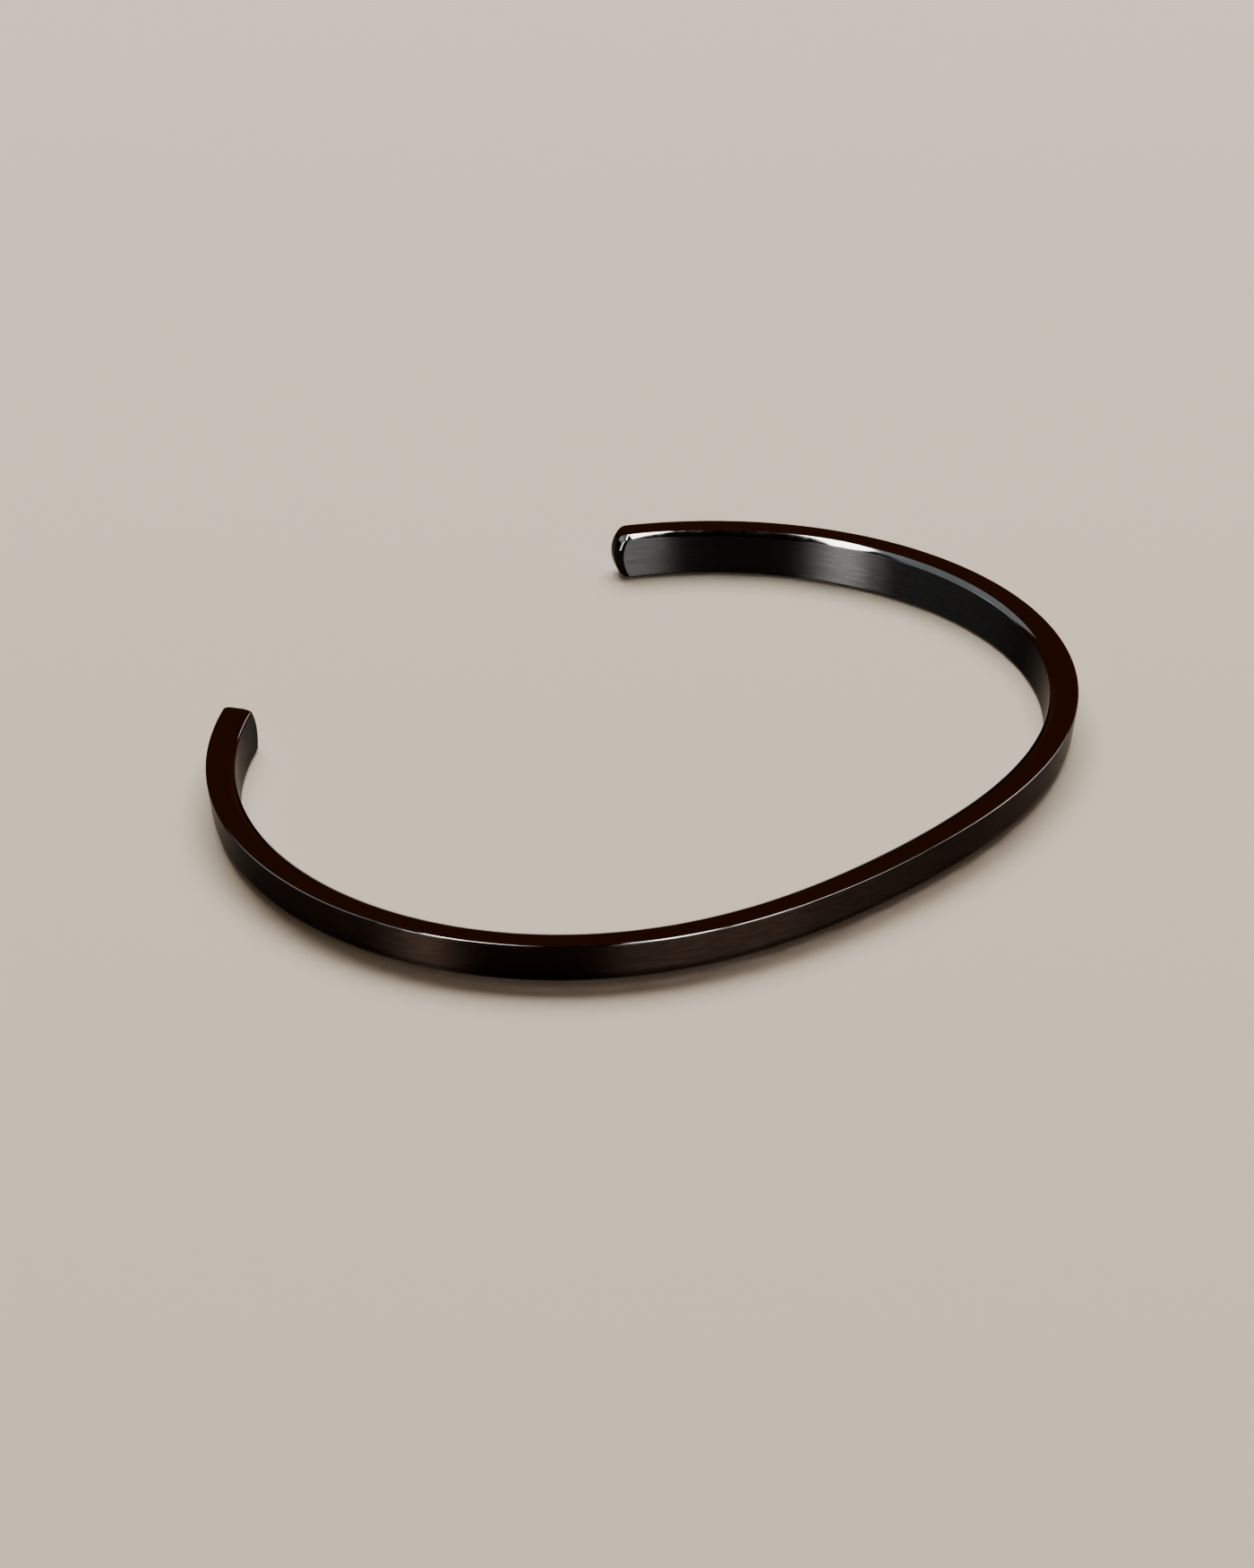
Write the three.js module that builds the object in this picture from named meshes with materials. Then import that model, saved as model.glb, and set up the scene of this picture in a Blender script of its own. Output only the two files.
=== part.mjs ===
// An open oval cuff bangle, made of one bar bent round the wrist.
// Millimetres and degrees, +Z up. The bangle lies flat, its long way along X,
// with the gap that the wrist goes in by on the +Y side.
import * as THREE from 'three';

// The oval, drawn by the sharp upper edge of the outer face. Directions are
// counted from the middle of the closed side, so the gap is at 180 degrees.
const MEAN_RADIUS = 29.55;
const OVAL_SWING = 3.03; // makes the ring longer along X than along Y
const EGG_SWING = 0.29; // fills out the closed side a little
const SHOULDER_SWING = 0.1; // flattens the four shoulders of the oval
const END_DIRECTION = 140.3; // of the nose of either end

// The bar.
const BAND_HEIGHT = 3.24;
const BAND_THICKNESS = 2.0;
const WALL_LEAN = 7.5; // both walls lean in towards the lower edge
const CRISP_EDGE_RADIUS = 0.1; // the upper edge of the outer face
const SOFT_EDGE_RADIUS = 1.0; // the lower edge of the outer face
const WRIST_EDGE_RADIUS = 0.45; // both edges of the inner face

// The two ends, domed from the lower edge to the upper one and rounded all round.
const DOME_DEPTH = 0.7;
const NOSE_LENGTH = 0.6; // the rounding starts this far back from the nose
const NOSE_NARROWING = 0.7; // it takes this off the outer and the inner face
const NOSE_LOWERING = 0.3; // and this off the top and the underside

// How finely curves are cut into flats.
const STATIONS = 96;
const NOSE_STEPS = 6;
const WALL_STEPS = 6;
const CRISP_EDGE_STEPS = 2;
const SOFT_EDGE_STEPS = 7;
const WRIST_EDGE_STEPS = 4;

const RADIANS = Math.PI / 180;

function radiusAt(direction) {
  const turn = direction * RADIANS;
  return (
    MEAN_RADIUS -
    OVAL_SWING * Math.cos(2 * turn) -
    EGG_SWING * Math.cos(3 * turn) -
    SHOULDER_SWING * Math.cos(4 * turn)
  );
}

function outlinePoint(direction) {
  const turn = direction * RADIANS;
  const radius = radiusAt(direction);
  return new THREE.Vector2(radius * Math.sin(turn), -radius * Math.cos(turn));
}

// The level direction that points from the outline to the inside of the ring.
function inwardAt(direction) {
  const step = 0.01;
  const before = outlinePoint(direction - step);
  const after = outlinePoint(direction + step);
  const along = after.sub(before).normalize();
  return new THREE.Vector2(-along.y, along.x);
}

function outlineStepPerDegree(direction) {
  const half = 0.5;
  return outlinePoint(direction + half).distanceTo(outlinePoint(direction - half));
}

// A rounded corner of the bar: x is the depth in from the outer face, y the height.
function corner(x, y, radius, startAngle, steps) {
  const points = [];
  for (let i = 0; i <= steps; i += 1) {
    const angle = (startAngle + (90 * i) / steps) * RADIANS;
    points.push(new THREE.Vector2(x + radius * Math.cos(angle), y + radius * Math.sin(angle)));
  }
  return points;
}

// The points between the last of one corner and the first of the next.
function between(start, end, steps) {
  const points = [];
  for (let i = 1; i < steps; i += 1) {
    points.push(start.clone().lerp(end, i / steps));
  }
  return points;
}

// The cross-section, from the crisp upper edge down the outer face,
// across the underside, up the inner face and back over the top.
function barSection() {
  const top = BAND_HEIGHT;
  const back = BAND_THICKNESS;
  const crisp = corner(CRISP_EDGE_RADIUS, top - CRISP_EDGE_RADIUS, CRISP_EDGE_RADIUS, 90, CRISP_EDGE_STEPS);
  const soft = corner(SOFT_EDGE_RADIUS, SOFT_EDGE_RADIUS, SOFT_EDGE_RADIUS, 180, SOFT_EDGE_STEPS);
  const wrist = WRIST_EDGE_RADIUS;
  const low = corner(back - wrist, wrist, wrist, 270, WRIST_EDGE_STEPS);
  const high = corner(back - wrist, top - wrist, wrist, 0, WRIST_EDGE_STEPS);
  const outerWall = between(crisp[crisp.length - 1], soft[0], WALL_STEPS);
  const innerWall = between(low[low.length - 1], high[0], WALL_STEPS);
  return [...crisp, ...outerWall, ...soft, ...low, ...innerWall, ...high];
}

// The section drawn in on every side by a share of the narrowing and the lowering.
function shrunkSection(section, share) {
  const middle = new THREE.Vector2(BAND_THICKNESS / 2, BAND_HEIGHT / 2);
  const across = 1 - (share * NOSE_NARROWING) / middle.x;
  const upward = 1 - (share * NOSE_LOWERING) / middle.y;
  return section.map((point) => {
    const x = middle.x + (point.x - middle.x) * across;
    const y = middle.y + (point.y - middle.y) * upward;
    return new THREE.Vector2(x, y);
  });
}

// How far an end stands back at a height, so that it bulges at mid-height.
function domeSetback(height) {
  const halfHeight = BAND_HEIGHT / 2;
  const radius = (halfHeight ** 2 + DOME_DEPTH ** 2) / (2 * DOME_DEPTH);
  const rise = height - halfHeight;
  return radius - Math.sqrt(radius ** 2 - rise ** 2);
}

// The direction that the bar reaches at a height, when it has come this far
// into the rounding of its end.
function reachAt(height, advance) {
  const setback = domeSetback(height) + NOSE_LENGTH - advance;
  return END_DIRECTION - setback / outlineStepPerDegree(END_DIRECTION);
}

function placePoint(point, direction) {
  const lean = (BAND_HEIGHT - point.y) * Math.tan(WALL_LEAN * RADIANS);
  const inward = inwardAt(direction).multiplyScalar(point.x + lean);
  const place = outlinePoint(direction).add(inward);
  return new THREE.Vector3(place.x, place.y, point.y);
}

// The rings of points along the bar: a rounded nose, the length, a rounded nose.
function barRings() {
  const section = barSection();
  const nose = [];
  for (let i = 1; i <= NOSE_STEPS; i += 1) {
    const angle = (90 * i * RADIANS) / NOSE_STEPS;
    const points = shrunkSection(section, 1 - Math.cos(angle));
    nose.push({ points, advance: NOSE_LENGTH * Math.sin(angle) });
  }
  const ring = (points, share, advance) =>
    points.map((point) => placePoint(point, share * reachAt(point.y, advance)));
  const rings = [];
  for (const step of [...nose].reverse()) {
    rings.push(ring(step.points, -1, step.advance));
  }
  for (let i = 0; i <= STATIONS; i += 1) {
    rings.push(ring(section, (2 * i) / STATIONS - 1, 0));
  }
  for (const step of nose) {
    rings.push(ring(step.points, 1, step.advance));
  }
  return rings;
}

// The flats between each ring and the next.
function wallTriangles(ringCount, ringSize) {
  const triangles = [];
  for (let i = 0; i + 1 < ringCount; i += 1) {
    for (let j = 0; j < ringSize; j += 1) {
      const next = (j + 1) % ringSize;
      const a = i * ringSize + j;
      const b = i * ringSize + next;
      const c = a + ringSize;
      const d = b + ringSize;
      triangles.push([a, b, d], [a, d, c]);
    }
  }
  return triangles;
}

// The flats across an end, from the top down between its outer and inner sides.
function endTriangles(ring, firstIndex) {
  const triangles = [];
  let outer = 0;
  let inner = ring.length - 1;
  while (inner - outer > 1) {
    const outerIsNext = ring[outer + 1].z >= ring[inner - 1].z;
    const third = outerIsNext ? outer + 1 : inner - 1;
    triangles.push([firstIndex + outer, firstIndex + inner, firstIndex + third]);
    if (outerIsNext) {
      outer += 1;
    } else {
      inner -= 1;
    }
  }
  return triangles;
}

function cuffBandGeometry() {
  const rings = barRings();
  const size = rings[0].length;
  const lastIndex = (rings.length - 1) * size;
  const firstEnd = endTriangles(rings[0], 0);
  const lastEnd = endTriangles(rings[rings.length - 1], lastIndex).map(([a, b, c]) => [a, c, b]);
  const triangles = [...wallTriangles(rings.length, size), ...firstEnd, ...lastEnd];
  const geometry = new THREE.BufferGeometry().setFromPoints(rings.flat());
  geometry.setIndex(triangles.flat());
  geometry.computeBoundingBox();
  const middle = geometry.boundingBox.getCenter(new THREE.Vector3());
  geometry.translate(-middle.x, -middle.y, 0);
  geometry.computeVertexNormals();
  return geometry;
}

const blackSteel = new THREE.MeshStandardMaterial({ color: 0x17120f, roughness: 0.18, metalness: 1.0 });

const bangle = new THREE.Group();
bangle.name = 'cuff_bangle';
const cuffBand = new THREE.Mesh(cuffBandGeometry(), blackSteel);
cuffBand.name = 'cuff_band';
bangle.add(cuffBand);

export default bangle;
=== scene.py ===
# %% [markdown]
# # An open cuff bangle of black steel
# This lesson dresses one piece of jewellery: a slim bar of steel, bent into an open oval and
# plated black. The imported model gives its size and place. Blender adds a smoother surface, the
# polish of the edges, the brushing of the walls, and the light that makes both readable.

# %% Load the frame
import math

import bpy
import numpy as np
from mathutils import Matrix, Vector


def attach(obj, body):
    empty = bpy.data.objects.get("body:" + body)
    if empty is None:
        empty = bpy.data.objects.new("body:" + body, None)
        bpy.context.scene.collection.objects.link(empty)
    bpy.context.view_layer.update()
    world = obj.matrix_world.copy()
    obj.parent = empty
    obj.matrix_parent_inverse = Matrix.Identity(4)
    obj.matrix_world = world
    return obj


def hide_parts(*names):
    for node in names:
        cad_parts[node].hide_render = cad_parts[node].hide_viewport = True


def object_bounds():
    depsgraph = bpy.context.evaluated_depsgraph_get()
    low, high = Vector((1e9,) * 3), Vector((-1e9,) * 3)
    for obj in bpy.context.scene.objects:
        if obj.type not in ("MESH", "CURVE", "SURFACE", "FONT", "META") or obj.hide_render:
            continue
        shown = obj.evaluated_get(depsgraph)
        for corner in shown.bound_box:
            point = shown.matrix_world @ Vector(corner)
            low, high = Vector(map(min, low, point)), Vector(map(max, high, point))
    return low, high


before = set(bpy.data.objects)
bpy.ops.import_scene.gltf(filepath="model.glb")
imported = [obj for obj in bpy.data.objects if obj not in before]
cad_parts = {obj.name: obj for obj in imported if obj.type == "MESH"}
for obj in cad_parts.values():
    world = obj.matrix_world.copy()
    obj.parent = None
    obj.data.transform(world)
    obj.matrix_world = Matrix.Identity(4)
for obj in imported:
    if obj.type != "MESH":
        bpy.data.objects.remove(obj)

cad_low, cad_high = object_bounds()
MM = 0.001
print("frame box in mm:", [round(v / MM, 2) for v in (*cad_low, *cad_high)])

# %% [markdown]
# ## The camera comes first
# Every later choice is judged through the camera, so it is made before the shapes. The bangle is
# seen from a little above, from the corner where its closed side meets its left side. A camera
# close by would swell the near side. A long lens from far away keeps perspective gentle, so that
# the near and the far end look alike in size. Azimuth is counted round +Z from the front (-Y),
# towards +X.

# %% Camera
CAMERA_AZIMUTH = -44.5
CAMERA_ELEVATION = 29.75
CAMERA_DISTANCE = 488.6 * MM
CAMERA_LENS = 164.57
NEAREST_SEEN = 10 * MM
FARTHEST_SEEN = 20.0
AIM = np.array([-6.96, -3.47, 3.24]) * MM


def compass(azimuth, elevation):
    """Unit vector: azimuth degrees round +Z from -Y towards +X, elevation degrees above level."""
    turn, rise = math.radians(azimuth), math.radians(elevation)
    level = math.cos(rise)
    return np.array([math.sin(turn) * level, -math.cos(turn) * level, math.sin(rise)])


def look_from(thing, direction, distance, target):
    """Places thing at target + distance * direction, with its -Z axis pointing at target."""
    thing.location = Vector(target + distance * direction)
    thing.rotation_mode = "QUATERNION"
    thing.rotation_quaternion = Vector(-direction).to_track_quat("-Z", "Y")


camera_data = bpy.data.cameras.new("jewellery_lens")
camera_data.lens = CAMERA_LENS
camera_data.clip_start = NEAREST_SEEN
camera_data.clip_end = FARTHEST_SEEN
camera = bpy.data.objects.new("camera", camera_data)
bpy.context.collection.objects.link(camera)
look_from(camera, compass(CAMERA_AZIMUTH, CAMERA_ELEVATION), CAMERA_DISTANCE, AIM)
bpy.context.scene.camera = camera
print("camera at mm:", [round(v / MM, 1) for v in camera.location])

# %% [markdown]
# ## The oval
# On the bench a straight bar is bent round an oval former. From above, its outer upper edge is a
# curve that could be drawn with arcs or a spline. A mean radius with a few cosine swings is
# shorter to write, is smooth everywhere, and needs no list of points. Directions are counted in
# degrees from the middle of the closed side, so the gap is at 180.

# %% Oval
MEAN_RADIUS = 29.55
OVAL_SWING = 3.03      # makes the ring longer along X than along Y
EGG_SWING = 0.29       # fills out the closed side a little
SHOULDER_SWING = 0.1   # flattens the four shoulders of the oval
END_DIRECTION = 140.3  # of the nose of either end


def oval(direction):
    """Points of the oval, their inward directions, and the curve's pace in mm per radian.

    radius = mean - oval * cos(2a) - egg * cos(3a) - shoulder * cos(4a), the point is
    (radius * sin a, -radius * cos a), and inward is the curve's own direction turned left."""
    a = np.radians(direction)
    radius = (MEAN_RADIUS - OVAL_SWING * np.cos(2 * a) - EGG_SWING * np.cos(3 * a)
              - SHOULDER_SWING * np.cos(4 * a))
    growth = (2 * OVAL_SWING * np.sin(2 * a) + 3 * EGG_SWING * np.sin(3 * a)
              + 4 * SHOULDER_SWING * np.sin(4 * a))
    point = np.stack([radius * np.sin(a), -radius * np.cos(a)], axis=-1)
    ahead_x = growth * np.sin(a) + radius * np.cos(a)
    ahead_y = -growth * np.cos(a) + radius * np.sin(a)
    pace = np.hypot(ahead_x, ahead_y)
    inward = np.stack([-ahead_y / pace, ahead_x / pace], axis=-1)
    return point, inward, pace


print("closed oval, mm:", (oval(np.array([90.0]))[0] * 2).round(2)[0][0], "long")

# %% [markdown]
# ## The length of the bar
# Brushing and scratches run along the bar, so their patterns need the distance along it. The
# oval's direction won't do, because a degree is longer on the flat sides than at the turns. The
# pace, added up over many small turns, gives the true length, and a look-up in that running sum
# gives the distance at any direction.

# %% Length
LENGTH_SAMPLES = 2001
turns = np.linspace(-END_DIRECTION, END_DIRECTION, LENGTH_SAMPLES)
pace_here = oval(turns)[2]
length_so_far = np.concatenate([[0.0], np.cumsum((pace_here[1:] + pace_here[:-1]) / 2
                                                 * np.radians(turns[1] - turns[0]))])
print("bar length along the outer edge, mm:", round(length_so_far[-1], 1))

# %% [markdown]
# ## The corners of the section
# Cut across, the bar is a small upright oblong, and its edges are most of its character. The
# upper outer edge is left crisp, so it draws one hair-thin bright line. The lower outer edge is
# rolled over. The two edges that touch the wrist have a comfort edge: a narrow, slightly convex
# bevel between two tight turns, which catches broad highlights. A Bevel modifier gives every edge
# one kind of curve. Chaining arcs gives each corner a form of its own.

# %% Corners
BAND_HEIGHT = 3.24
BAND_THICKNESS = 2.0
WALL_LEAN = 7.5        # degrees: both walls lean in towards the lower edge
QUARTER = 90
CRISP_EDGE_RADIUS, CRISP_EDGE_STEPS = 0.1, 6
SOFT_EDGE_RADIUS, SOFT_EDGE_STEPS = 1.0, 14
# Each arc of the comfort edge, from the wall to the top: radius, degrees turned, steps.
COMFORT_EDGE = [(0.06, 56, 6), (1.43, 20, 6), (0.06, 14, 3)]


def corner(x, y, start, arcs):
    """A corner from (x, y), made of arcs (radius, sweep, steps) that follow on smoothly.

    The surface faces the angle start in degrees where the corner begins. Each arc's points are
    its centre + radius * (cos, sin), and its centre lies a radius behind the last point."""
    points = [np.array([[x, y]])]
    for radius, sweep, steps in arcs:
        angle = np.radians(start + np.linspace(0, sweep, steps + 1))
        around = radius * np.stack([np.cos(angle), np.sin(angle)], axis=-1)
        points.append(points[-1][-1] - around[0] + around[1:])
        start += sweep
    return np.concatenate(points)


comfort_inset, comfort_drop = np.abs(corner(0.0, 0.0, 0, COMFORT_EDGE)[-1])
print("comfort edge, mm across and down:", comfort_inset.round(3), comfort_drop.round(3))

# %% [markdown]
# ## The whole section
# The corners are joined by straight runs into one closed loop of points. The runs get points
# close to each corner, so that the smooth shading of a corner doesn't bleed across the flat
# beside it. Each step of the loop also gets a finish: the edges, the top and the underside are
# polished, and the two walls are brushed. The outer wall and the rolled edge below it are called
# satin; their warmer black is a painted reflection of brown paper, not a colour of the plating.

# %% Section
RUN_SHARES = np.array([0.015, 0.05, 0.13, 0.27, 0.42, 0.58, 0.73, 0.87, 0.95, 0.985])
TO_THE_WRIST, UPWARDS, OUTWARDS, DOWNWARDS = 0, 90, 180, 270   # the angles a surface can face
POLISHED, BRUSHED, SATIN_PAINTED_REFLECTION = 0, 1, 2
INNER_WALL_PART = 5    # its number in the loop of corners and runs, counted from 0


def run(before, after):
    """Points on the straight line from the end of one corner to the start of the next."""
    start, end = before[-1], after[0]
    return start + RUN_SHARES[:, None] * (end - start)


def bar_section():
    """The closed loop (depth in from the outer face, height), with a finish for each step."""
    crisp = corner(CRISP_EDGE_RADIUS, BAND_HEIGHT, UPWARDS,
                   [(CRISP_EDGE_RADIUS, QUARTER, CRISP_EDGE_STEPS)])
    soft = corner(0.0, SOFT_EDGE_RADIUS, OUTWARDS,
                  [(SOFT_EDGE_RADIUS, QUARTER, SOFT_EDGE_STEPS)])
    low = corner(BAND_THICKNESS - comfort_inset, 0.0, DOWNWARDS, COMFORT_EDGE[::-1])
    high = corner(BAND_THICKNESS, BAND_HEIGHT - comfort_drop, TO_THE_WRIST, COMFORT_EDGE)
    parts = [(crisp, POLISHED), (run(crisp, soft), SATIN_PAINTED_REFLECTION), (soft, SATIN_PAINTED_REFLECTION),
             (run(soft, low), POLISHED), (low, POLISHED), (run(low, high), BRUSHED),
             (high, POLISHED), (run(high, crisp), POLISHED)]
    steps = np.concatenate([np.full(len(points), kind) for points, kind in parts])
    # The step that leaves a corner already belongs to the wall that follows it.
    steps[len(crisp) - 1] = SATIN_PAINTED_REFLECTION
    steps[sum(len(points) for points, _ in parts[:INNER_WALL_PART]) - 1] = BRUSHED
    return np.concatenate([points for points, _ in parts]), steps


section, step_finish = bar_section()
print("section points:", len(section), "steps of each finish:", np.bincount(step_finish))

# %% [markdown]
# ## The ends
# Both ends are filed to a shallow dome from the lower edge to the upper one, and then rounded all
# round so that they slip past the wrist. The dome is a part of a circle through the height. The
# rounding is a quarter of an ellipse: while the section comes forward by the sine of an angle, it
# shrinks by one minus its cosine, more across than up. Past the nose the section goes on shrinking
# to a single point, which closes the end without a flat cap.

# %% Ends
DOME_DEPTH = 0.7
NOSE_LENGTH = 0.6      # the rounding starts this far back from the nose
NOSE_NARROWING = 0.7   # it takes this off the outer and the inner face
NOSE_LOWERING = 0.3    # and this off the top and the underside
NOSE_STEPS = 14
CAP_STEPS = 10


def dome_setback(height):
    """radius - sqrt(radius^2 - rise^2), where rise is the height above mid-height."""
    half = BAND_HEIGHT / 2
    radius = (half ** 2 + DOME_DEPTH ** 2) / (2 * DOME_DEPTH)
    return radius - np.sqrt(radius ** 2 - (height - half) ** 2)


def end_rows():
    """For each row beyond the body: how far it comes forward, and its scale across and up."""
    angle = np.radians(np.linspace(0, QUARTER, NOSE_STEPS + 1))[1:]
    drawn_in = 1 - np.cos(angle)
    forward = NOSE_LENGTH * np.sin(angle)
    across = 1 - drawn_in * NOSE_NARROWING / (BAND_THICKNESS / 2)
    upward = 1 - drawn_in * NOSE_LOWERING / (BAND_HEIGHT / 2)
    left = 1 - np.linspace(0, 1, CAP_STEPS + 1)[1:]
    forward = np.concatenate([forward, np.full(CAP_STEPS, NOSE_LENGTH)])
    across = np.concatenate([across, across[-1] * left])
    upward = np.concatenate([upward, upward[-1] * left])
    return forward, across, upward


forward, across, upward = end_rows()
print("rows in each end:", len(forward), "deepest dome setback, mm:", dome_setback(0.0).round(2))

# %% [markdown]
# ## The rows along the bar
# The bangle is one grid: rows along the bar, columns round the section. An array modifier on a
# curve could repeat the section, but it would cut the ends square. Here each row has its own
# share of the way to the nose, its own step forward and its own scale, so the ends and the body
# are made by the same few lines.

# %% Rows
BODY_STEPS = 560
body_share = np.linspace(-1, 1, BODY_STEPS + 1)
row_share = np.concatenate([-np.ones(len(forward)), body_share, np.ones(len(forward))])
row_forward = np.concatenate([forward[::-1], np.zeros(len(body_share)), forward])
row_across = np.concatenate([across[::-1], np.ones(len(body_share)), across])
row_upward = np.concatenate([upward[::-1], np.ones(len(body_share)), upward])
print("rows along the bar:", len(row_share))

# %% [markdown]
# ## The surface
# Each point takes its row's place on the oval, moves inwards by its depth, and leans in as it
# goes down. A lattice or a curve modifier could bend a straight bar the same way, but the leaning
# walls and the domed ends would need corrections afterwards. The finished grid is then laid into
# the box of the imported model, so that the two agree to a hair.

# %% Surface points
PACE_AT_END = oval(np.array([END_DIRECTION]))[2][0]


def bar_points():
    """Grid of points (row, column, xyz) in mm, and the distance along the bar at each.

    Depth and height are the section's, scaled about its middle. The direction is the row's share
    of END_DIRECTION less the setback, and the lean is (top - height) * tan(WALL_LEAN)."""
    middle = np.array([BAND_THICKNESS / 2, BAND_HEIGHT / 2])
    depth = middle[0] + (section[None, :, 0] - middle[0]) * row_across[:, None]
    height = middle[1] + (section[None, :, 1] - middle[1]) * row_upward[:, None]
    setback = dome_setback(height) + NOSE_LENGTH - row_forward[:, None]
    direction = row_share[:, None] * (END_DIRECTION - np.degrees(setback / PACE_AT_END))
    point, inward, _ = oval(direction)
    lean = (BAND_HEIGHT - height) * math.tan(math.radians(WALL_LEAN))
    level = point + (depth + lean)[..., None] * inward
    travelled = np.interp(direction, turns, length_so_far)
    return np.concatenate([level, height[..., None]], axis=-1), travelled


grid, travelled = bar_points()
grid_low, grid_high = grid.min(axis=(0, 1)), grid.max(axis=(0, 1))
cad_size = (np.array(cad_high) - np.array(cad_low)) / MM
cad_middle = (np.array(cad_low) + np.array(cad_high)) / 2 / MM
fit = np.minimum(1.0, cad_size / (grid_high - grid_low))
grid = (grid - (grid_low + grid_high) / 2) * fit + cad_middle
print("fitted to the frame by", fit.round(5))

# %% [markdown]
# ## From grid to faces
# Neighbouring points of neighbouring rows make quads. The first and the last row have shrunk to
# single points, the poles, and triangles close the grid there. Numbering all faces with whole
# arrays is fast, and every face turns the same way round, so all of them look outwards.

# %% Faces
def grid_faces(rows, columns):
    """Point numbers of the quads between rows, and of the triangle fans at the two poles.

    Point (row, column) has number row * columns + column, and the poles follow the grid."""
    row, column = np.meshgrid(np.arange(rows - 1), np.arange(columns), indexing="ij")
    beside = (column + 1) % columns
    quads = np.stack([row * columns + column, row * columns + beside,
                      (row + 1) * columns + beside, (row + 1) * columns + column], axis=-1)
    around = np.arange(columns)
    after = (around + 1) % columns
    first_pole, last_pole = rows * columns, rows * columns + 1
    last_row = (rows - 1) * columns
    first = np.stack([np.full(columns, first_pole), after, around], axis=-1)
    last = np.stack([np.full(columns, last_pole), last_row + around, last_row + after], axis=-1)
    return quads.reshape(-1, 4), np.concatenate([first, last])


open_rows, columns = grid.shape[0] - 2, grid.shape[1]
quads, fans = grid_faces(open_rows, columns)
print("quads:", len(quads), "triangles at the poles:", len(fans))

# %% [markdown]
# ## The map for patterns
# Patterns that follow the bar need a map of it. Unwrapping by hand would cut seams and stretch.
# Here every corner of every face simply gets its distance along the bar as U and its distance
# round the section as V, both in millimetres, so a pattern's size can be given in millimetres too.

# %% UV map
def bar_uv(corners):
    """U and V in mm for every corner: the distance along the bar and round the section."""
    closed = np.concatenate([section, section[:1]])
    reach = np.concatenate([[0.0], np.cumsum(np.linalg.norm(np.diff(closed, axis=0), axis=1))])
    u = np.concatenate([travelled[1:-1].ravel(), travelled[:1, 0], travelled[-1:, 0]])[corners]
    here = np.tile(np.arange(columns), open_rows - 1)
    v_quads = np.stack([reach[here], reach[here + 1], reach[here + 1], reach[here]], axis=-1)
    v_fans = np.repeat(reach[np.tile(np.arange(columns), 2)], fans.shape[1])
    return np.stack([u, np.concatenate([v_quads.ravel(), v_fans])], axis=-1)


corners = np.concatenate([quads.ravel(), fans.ravel()])
uv = bar_uv(corners)
print("map in mm:", uv.max(axis=0).round(1))

# %% [markdown]
# ## The mesh
# Blender keeps a mesh as flat arrays: points, corners, and where each face's corners start.
# Writing the arrays directly puts in tens of thousands of faces at once, where adding them one by
# one would take minutes. The ends are polished all over, whatever the section says, because they
# are rounded last.

# %% Mesh
def face_finishes():
    """The finish of every face: the section's own on the body, polish on the ends."""
    on_body = (row_forward[1:-2] == 0) & (row_forward[2:-1] == 0)
    bands = np.where(on_body[:, None], step_finish[None, :], POLISHED)
    return np.concatenate([bands.ravel(), np.full(len(fans), POLISHED)]).astype(np.int32)


def bar_mesh(name):
    """The closed mesh of the bar, smoothly shaded, with its finishes and its UV map."""
    points = np.concatenate([grid[1:-1].reshape(-1, 3), grid[:1, 0], grid[-1:, 0]]) * MM
    quad_starts = np.arange(len(quads)) * quads.shape[1]
    starts = np.concatenate([quad_starts, quads.size + np.arange(len(fans)) * fans.shape[1]])
    mesh = bpy.data.meshes.new(name)
    mesh.vertices.add(len(points))
    mesh.vertices.foreach_set("co", points.ravel())
    mesh.loops.add(len(corners))
    mesh.loops.foreach_set("vertex_index", corners)
    mesh.polygons.add(len(starts))
    mesh.polygons.foreach_set("loop_start", starts)
    mesh.polygons.foreach_set("use_smooth", np.ones(len(starts), dtype=bool))
    mesh.polygons.foreach_set("material_index", face_finishes())
    mesh.uv_layers.new(name="bar_mm").data.foreach_set("uv", uv.ravel())
    mesh.update(calc_edges=True)
    mesh.validate()
    return mesh


band_mesh = bar_mesh("cuff_band_surface")
band = bpy.data.objects.new("cuff_band_surface", band_mesh)
bpy.context.collection.objects.link(band)
band_mesh.calc_loop_triangles()
print("triangles:", len(band_mesh.loop_triangles))

# %% [markdown]
# ## Small helpers for materials
# A material is a graph of nodes. The same few steps come back in every finish: a noise pattern, a
# change of its range, a stretch of the map, a bump, a blend of two colours. Each gets a short
# function, so that a finish further down reads like a recipe.

# %% Node helpers
WAVES_PER_UNIT = 1.0   # of a noise on a stretched map, which sets the size by its stretch


def new_material(name):
    """An empty node material with one Principled shader wired to the output."""
    material = bpy.data.materials.new(name)
    material.use_nodes = True
    nodes = material.node_tree.nodes
    return material, nodes, material.node_tree.links, nodes["Principled BSDF"]


def noise(nodes, links, vector, scale, detail, roughness=0.5):
    """A noise pattern read at vector, with scale waves in each unit of it."""
    node = nodes.new("ShaderNodeTexNoise")
    node.inputs["Scale"].default_value = scale
    node.inputs["Detail"].default_value = detail
    node.inputs["Roughness"].default_value = roughness
    links.new(vector, node.inputs["Vector"])
    return node.outputs["Fac"]


def spread(nodes, links, value, low, high, from_low=0.3, from_high=0.7):
    """Carries value from from_low..from_high to low..high."""
    node = nodes.new("ShaderNodeMapRange")
    node.inputs["From Min"].default_value = from_low
    node.inputs["From Max"].default_value = from_high
    node.inputs["To Min"].default_value = low
    node.inputs["To Max"].default_value = high
    links.new(value, node.inputs["Value"])
    return node.outputs["Result"]


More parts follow.
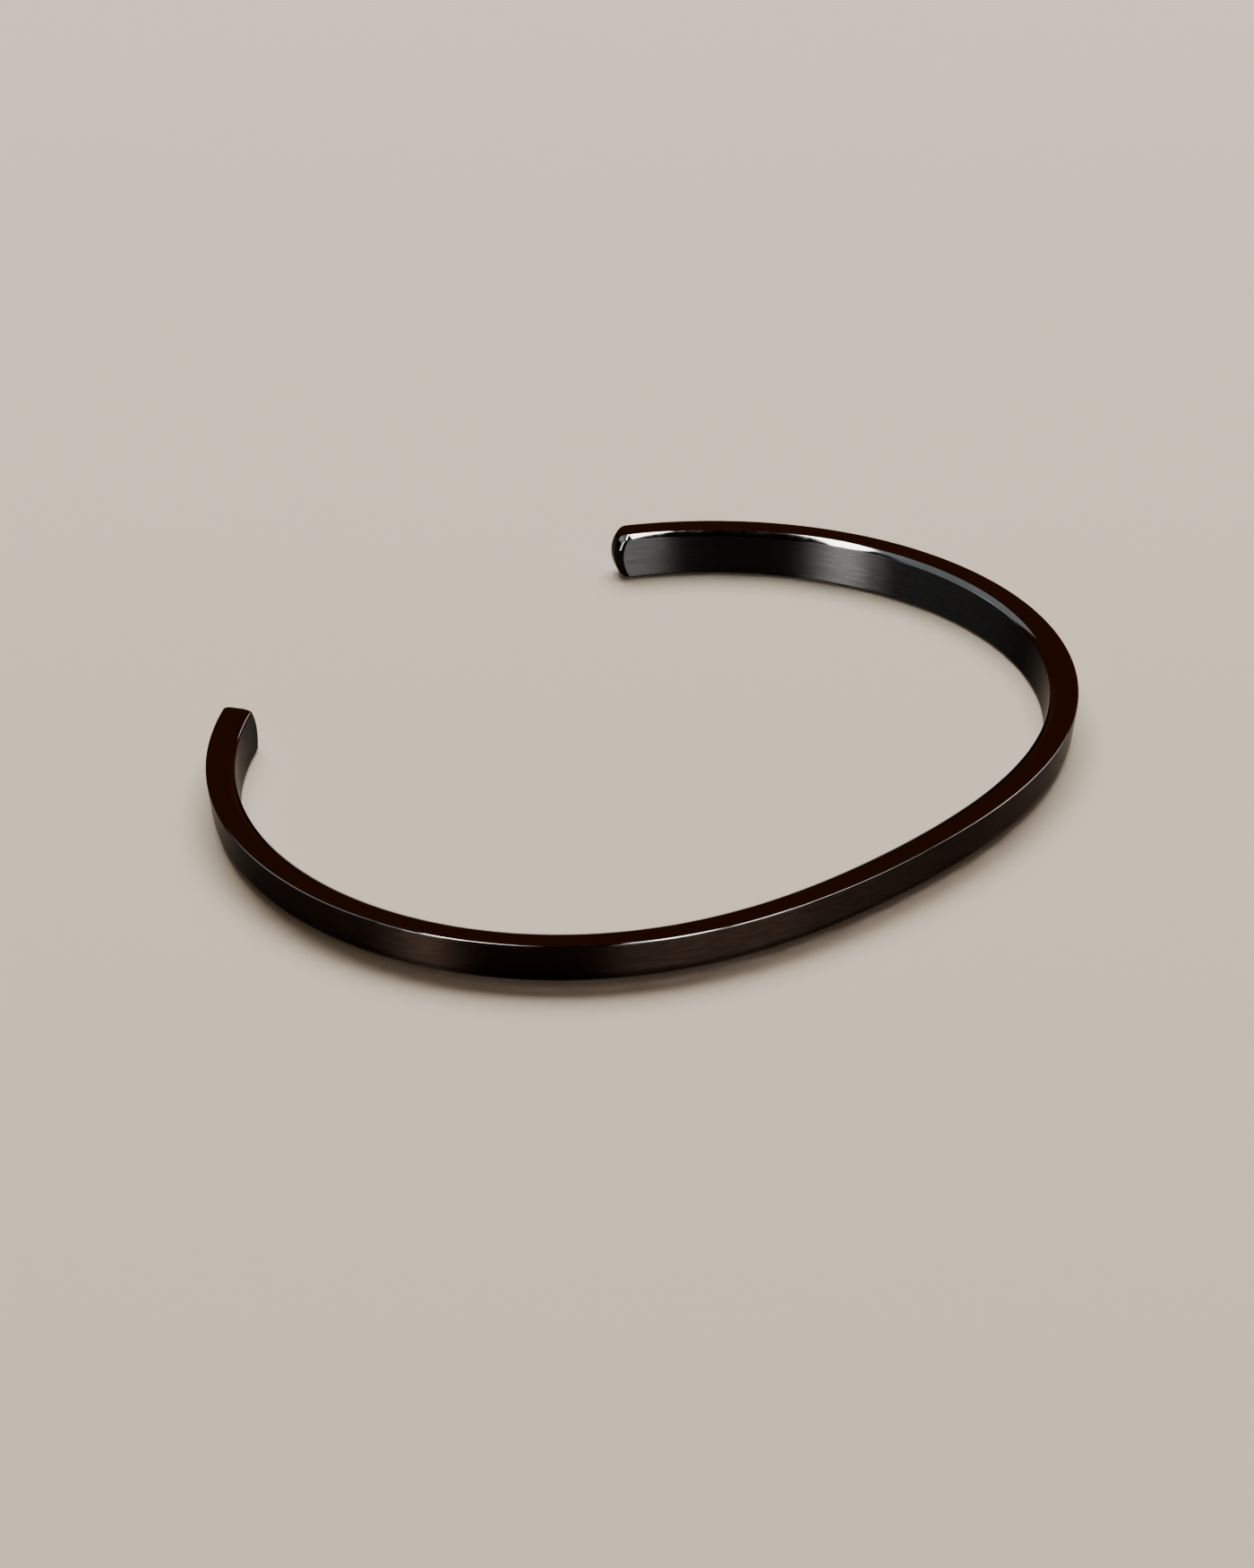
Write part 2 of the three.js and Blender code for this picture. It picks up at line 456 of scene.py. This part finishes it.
def stretched_uv(nodes, links, along, around):
    """The bar's own UV map in mm, multiplied by along and around."""
    source = nodes.new("ShaderNodeUVMap")
    source.uv_map = "bar_mm"
    mapping = nodes.new("ShaderNodeMapping")
    mapping.inputs["Scale"].default_value = (along, around, 1.0)
    links.new(source.outputs["UV"], mapping.inputs["Vector"])
    return mapping.outputs["Vector"]


def bump(nodes, links, height, strength, depth, normal=None):
    """A bump of height with the given depth in metres, on top of another bump if there is one."""
    node = nodes.new("ShaderNodeBump")
    node.inputs["Strength"].default_value = strength
    node.inputs["Distance"].default_value = depth
    links.new(height, node.inputs["Height"])
    if normal is not None:
        links.new(normal, node.inputs["Normal"])
    return node.outputs["Normal"]


def two_tones(nodes, links, factor, dark, light):
    """A colour between dark and light."""
    node = nodes.new("ShaderNodeValToRGB")
    node.color_ramp.elements[0].color = (*dark, 1.0)
    node.color_ramp.elements[1].color = (*light, 1.0)
    links.new(factor, node.inputs["Fac"])
    return node.outputs["Color"]


print("helpers:", [f.__name__ for f in (noise, spread, stretched_uv, bump, two_tones)])

# %% [markdown]
# ## Black polish
# The plating is a thin hard black layer on steel. Polished, it is nearly a black mirror: most of
# its look is what it reflects, and its own colour is almost nothing. A glossy dark plastic would
# go white at low angles. A metallic shader with a very dark colour and a dimmed edge tint stays
# black. A very slow waviness in the bump bends reflections a little, as real polish does. Smudges
# and fine scratches along the bar change the roughness here and there.

# %% Polished finish
POLISH_DARK = (0.0045, 0.0043, 0.0042)
POLISH_LIGHT = (0.0070, 0.0068, 0.0066)
POLISH_EDGE_TINT = (0.55, 0.55, 0.55, 1.0)
SMOOTHEST_POLISH, ROUGHEST_POLISH = 0.03, 0.08
CLOUDS = {"scale": 260.0, "detail": 3.0}                     # waves in a metre
SMUDGES = {"scale": 900.0, "detail": 4.0, "roughness": 0.6}
SMUDGE_RANGE = (0.35, 0.65)
WAVES = {"scale": 420.0, "detail": 2.0}
WAVE_STRENGTH, WAVE_DEPTH = 0.1, 0.01 * MM
SCRATCHES_ALONG, SCRATCHES_AROUND, SCRATCH_DETAIL = 0.25, 14.0, 4.0   # in a millimetre
SCRATCH_SHINE = 0.75   # the share of the roughness that is left in the brightest scratches
SCRATCH_STRENGTH, SCRATCH_DEPTH = 0.08, 0.004 * MM


def polished(name):
    """Mirror-polished black plating: roughness = smudges * scratches, bump = waves + scratches."""
    material, nodes, links, shader = new_material(name)
    shader.inputs["Metallic"].default_value = 1.0
    shader.inputs["Specular Tint"].default_value = POLISH_EDGE_TINT
    place = nodes.new("ShaderNodeTexCoord").outputs["Object"]
    clouds = noise(nodes, links, place, **CLOUDS)
    links.new(two_tones(nodes, links, clouds, POLISH_DARK, POLISH_LIGHT),
              shader.inputs["Base Color"])
    stretched = stretched_uv(nodes, links, SCRATCHES_ALONG, SCRATCHES_AROUND)
    scratches = noise(nodes, links, stretched, WAVES_PER_UNIT, SCRATCH_DETAIL)
    smudges = noise(nodes, links, place, **SMUDGES)
    roughness = nodes.new("ShaderNodeMath")
    roughness.operation = "MULTIPLY"
    links.new(spread(nodes, links, scratches, SCRATCH_SHINE, 1.0), roughness.inputs[0])
    links.new(spread(nodes, links, smudges, SMOOTHEST_POLISH, ROUGHEST_POLISH, *SMUDGE_RANGE),
              roughness.inputs[1])
    links.new(roughness.outputs["Value"], shader.inputs["Roughness"])
    waves = noise(nodes, links, place, **WAVES)
    normal = bump(nodes, links, waves, WAVE_STRENGTH, WAVE_DEPTH)
    normal = bump(nodes, links, scratches, SCRATCH_STRENGTH, SCRATCH_DEPTH, normal)
    links.new(normal, shader.inputs["Normal"])
    return material


polished_black = polished("polished_black_plating")
print("polish, nodes:", len(polished_black.node_tree.nodes))

# %% [markdown]
# ## Brushed walls
# The two walls are brushed along the bar with abrasive before they are plated. The grooves run
# lengthwise, so a wall spreads light up and down and stays sharp from side to side: it shows soft
# grey patches with straight upright limits, wherever a light stands in that compass direction. A
# plain rough metal would blur both ways alike. The shader's anisotropy spreads one way only, along
# a tangent taken from the bar's own UV map, and a noise stretched along the bar draws the lines.

# %% Brushed finish
WALL_DARK, WALL_LIGHT = (0.0048, 0.0047, 0.0046), (0.0072, 0.0070, 0.0068)
# Painted reflection: the outer wall's warm brown stands in for brown paper mirrored in it; the
# plating itself is neutral.
OUTER_DARK_PAINTED_REFLECTION, OUTER_LIGHT_PAINTED_REFLECTION = (0.0058, 0.0036, 0.0025), (0.0088, 0.0056, 0.0040)
BRUSHED_EDGE_TINT = (0.50, 0.50, 0.50, 1.0)
SMOOTHEST_BRUSHING, ROUGHEST_BRUSHING = 0.17, 0.30
ONE_WAY_SPREAD = 1.0
QUARTER_TURN = 0.25    # turns the spread from along the grooves to across them
LINES_ALONG, LINES_AROUND, LINE_DETAIL, LINE_ROUGHNESS = 0.45, 12.0, 6.0, 0.75
STREAKS_ALONG, STREAKS_AROUND, STREAK_DETAIL = 0.08, 5.0, 3.0
LINE_STRENGTH, STREAK_STRENGTH, BRUSHING_DEPTH = 0.7, 0.2, 0.01 * MM


def brushed(name, dark, light):
    """Black plating brushed along the bar, its tone between dark and light in broad streaks."""
    material, nodes, links, shader = new_material(name)
    shader.inputs["Metallic"].default_value = 1.0
    shader.inputs["Specular Tint"].default_value = BRUSHED_EDGE_TINT
    shader.inputs["Anisotropic"].default_value = ONE_WAY_SPREAD
    shader.inputs["Anisotropic Rotation"].default_value = QUARTER_TURN
    tangent = nodes.new("ShaderNodeTangent")
    tangent.direction_type = "UV_MAP"
    tangent.uv_map = "bar_mm"
    links.new(tangent.outputs["Tangent"], shader.inputs["Tangent"])
    fine_map = stretched_uv(nodes, links, LINES_ALONG, LINES_AROUND)
    lines = noise(nodes, links, fine_map, WAVES_PER_UNIT, LINE_DETAIL, LINE_ROUGHNESS)
    broad_map = stretched_uv(nodes, links, STREAKS_ALONG, STREAKS_AROUND)
    streaks = noise(nodes, links, broad_map, WAVES_PER_UNIT, STREAK_DETAIL)
    links.new(two_tones(nodes, links, streaks, dark, light), shader.inputs["Base Color"])
    links.new(spread(nodes, links, lines, SMOOTHEST_BRUSHING, ROUGHEST_BRUSHING),
              shader.inputs["Roughness"])
    normal = bump(nodes, links, lines, LINE_STRENGTH, BRUSHING_DEPTH)
    normal = bump(nodes, links, streaks, STREAK_STRENGTH, BRUSHING_DEPTH, normal)
    links.new(normal, shader.inputs["Normal"])
    return material


brushed_black = brushed("brushed_black_plating", WALL_DARK, WALL_LIGHT)
# Satin differs from brushed only by its warm colours, which are a painted reflection of brown
# paper.
satin_black_painted_reflection = brushed("satin_black_plating_painted_reflection", OUTER_DARK_PAINTED_REFLECTION, OUTER_LIGHT_PAINTED_REFLECTION)
print("brushing, nodes:", len(brushed_black.node_tree.nodes))

# %% [markdown]
# ## Into the frame
# The finished piece takes the place of the imported solid, which is hidden, and rides on the only
# body, so it goes wherever that body goes. The order of the materials is the order of the finish
# numbers that were given to the faces.

# %% Hand the band over
for finish in (polished_black, brushed_black, satin_black_painted_reflection):
    band.data.materials.append(finish)
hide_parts("cuff_band")
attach(band, "root")
print("finishes on the band:", [m.name for m in band.data.materials])

# %% [markdown]
# ## The floor
# The bangle lies on a plain pale floor. It is large enough that its edges are never seen and that
# low reflections in the metal meet floor and not the dark beyond. It has no shine of its own,
# because a floor that mirrors would draw the bangle twice.

# %% Floor
FLOOR_HALF = 4.0
FLOOR_COLOUR = (0.76, 0.67, 0.56, 1.0)
FLOOR_ROUGHNESS = 0.9
floor_mesh = bpy.data.meshes.new("studio_floor")
floor_corners = np.array([[-1, -1, 0], [1, -1, 0], [1, 1, 0], [-1, 1, 0]]) * FLOOR_HALF
floor_mesh.from_pydata(floor_corners.tolist(), [], [[0, 1, 2, 3]])
floor = bpy.data.objects.new("studio_floor", floor_mesh)
bpy.context.collection.objects.link(floor)
floor_material, _, _, floor_shader = new_material("studio_paper")
floor_shader.inputs["Base Color"].default_value = FLOOR_COLOUR
floor_shader.inputs["Roughness"].default_value = FLOOR_ROUGHNESS
floor_shader.inputs["Specular IOR Level"].default_value = 0.0
floor.data.materials.append(floor_material)
print("floor side, m:", 2 * FLOOR_HALF)

# %% [markdown]
# ## Lights for black metal
# Black polish is drawn by its surroundings, so the light is built for the reflections first. A
# light that shows in reflections alone can be placed freely: it changes the metal and leaves the
# floor and the shadow as they are. Two kinds are needed. A panel is a rectangle in one compass
# direction, and a strip is a long ellipse that spans two directions, whose pointed ends make
# highlights that taper off. The soft light on the floor comes from one wide panel above and
# behind, which the metal doesn't see and which lays the small shadow in front of the bar.

# %% Light helpers
LIGHT_DISTANCE = 1.0


def panel(name, azimuth, elevation, width, height, power, colour):
    """A rectangular light aimed at the bangle, which shows in the metal alone."""
    data = bpy.data.lights.new(name, "AREA")
    data.shape = "RECTANGLE"
    data.size = width
    data.size_y = height
    data.energy = power
    data.color = colour
    light = bpy.data.objects.new(name, data)
    bpy.context.collection.objects.link(light)
    look_from(light, compass(azimuth, elevation), LIGHT_DISTANCE, AIM)
    light.visible_camera = False
    light.visible_diffuse = False
    return light


def strip(name, start, end, width, power, colour):
    """An elliptical light that spans two compass directions, start and end.

    Its centre is the mean of the two directions, its long axis is their difference, and it
    faces back along the centre's own direction."""
    first, last = compass(*start), compass(*end)
    middle = (first + last) / 2
    length = LIGHT_DISTANCE * float(np.linalg.norm(last - first))
    light = panel(name, *start, length, width, power, colour)
    light.data.shape = "ELLIPSE"
    light.location = Vector(AIM + LIGHT_DISTANCE * middle)
    along = Vector(last - first).normalized()
    towards = Vector(middle).normalized()
    turned = Matrix((along, towards.cross(along), towards)).transposed()
    light.rotation_quaternion = turned.to_quaternion()
    return light


print("lights stand at m:", LIGHT_DISTANCE)

# %% [markdown]
# ## What the metal sees
# Two tall panels stand left and right of the camera with a dark gap between them. They give both
# walls their grey patches. The two long strips overhead draw the white crescents on the comfort
# edge. A third, weaker strip fills in on the right, and a very weak one leaves a glint on one end.
# The cards on the right keep the hairline of the crisp edge alight round the turn, with one
# of them raised so that the wall below stays dark there. The cool cards on the left give the
# comfort edge its steel-grey stretch, and the brown card behind is what the flat top mirrors.

# %% Lights in the reflections
WHITE = (1.0, 1.0, 1.0)
COOL = (0.84, 0.93, 1.0)
BROWN = (1.0, 0.22, 0.04)
# Name, azimuth and elevation in degrees, width and height in metres, power in watts, colour.
PANELS = [
    ("left_panel_core", -87.0, 13.0, 0.22, 0.42, 46.0, WHITE),
    ("left_panel", -88.0, 13.0, 0.48, 0.42, 36.0, WHITE),
    ("right_panel", -3.5, 13.0, 0.93, 0.42, 105.0, WHITE),
    ("left_card", -140.0, 35.0, 1.10, 0.60, 48.0, COOL),
    ("back_left_card", 178.5, 50.0, 0.73, 0.48, 21.0, COOL),
    ("right_card", 38.0, 30.0, 0.17, 0.50, 32.0, WHITE),
    ("right_high_card", 50.0, 58.0, 0.13, 0.35, 52.0, WHITE),
    ("right_far_card", 75.5, 30.0, 0.58, 0.50, 104.0, WHITE),
    ("back_card", 135.5, 30.0, 1.60, 0.60, 6.1, BROWN),
]
# Name, start and end as azimuth and elevation, width in metres, power in watts, colour.
STRIPS = [
    ("left_overhead", (139.2, 49.9), (-128.7, 70.3), 0.083, 160.0, WHITE),
    ("right_overhead", (129.9, 53.7), (-0.3, 57.2), 0.125, 315.0, WHITE),
    ("right_upper", (88.0, 63.0), (20.0, 50.0), 0.14, 70.0, WHITE),
    ("end_glint", (103.0, 31.0), (109.5, 22.5), 0.05, 1.0, WHITE),
]
for row in PANELS:
    panel(*row)
for row in STRIPS:
    strip(*row)
print("lights in the reflections:", len(PANELS) + len(STRIPS))

# %% [markdown]
# ## What the floor sees
# The wide panel lights the floor and makes the shadow. It is left out of reflections, or it would
# lie on the black top like a sheet of paper. The world adds a dim brown air that fills the shadow
# and keeps the darkest reflections from falling to nothing.

# %% Floor light and world
WARM = (1.0, 0.95, 0.88)
OVERHEAD_DISTANCE = 1.2
OVERHEAD_DIRECTION = (135.0, 57.0)   # azimuth and elevation
OVERHEAD_WIDTH, OVERHEAD_HEIGHT = 1.20, 0.85
OVERHEAD_POWER = 25.0
AIR_COLOUR = (0.24, 0.20, 0.16, 1.0)
AIR_STRENGTH = 0.5
overhead = panel("overhead_panel", *OVERHEAD_DIRECTION, OVERHEAD_WIDTH, OVERHEAD_HEIGHT,
                 OVERHEAD_POWER, WARM)
look_from(overhead, compass(*OVERHEAD_DIRECTION), OVERHEAD_DISTANCE, AIM)
overhead.visible_diffuse = True
overhead.visible_glossy = False

world = bpy.data.worlds.new("studio_air")
world.use_nodes = True
background = world.node_tree.nodes["Background"]
background.inputs["Color"].default_value = AIR_COLOUR
background.inputs["Strength"].default_value = AIR_STRENGTH
bpy.context.scene.world = world
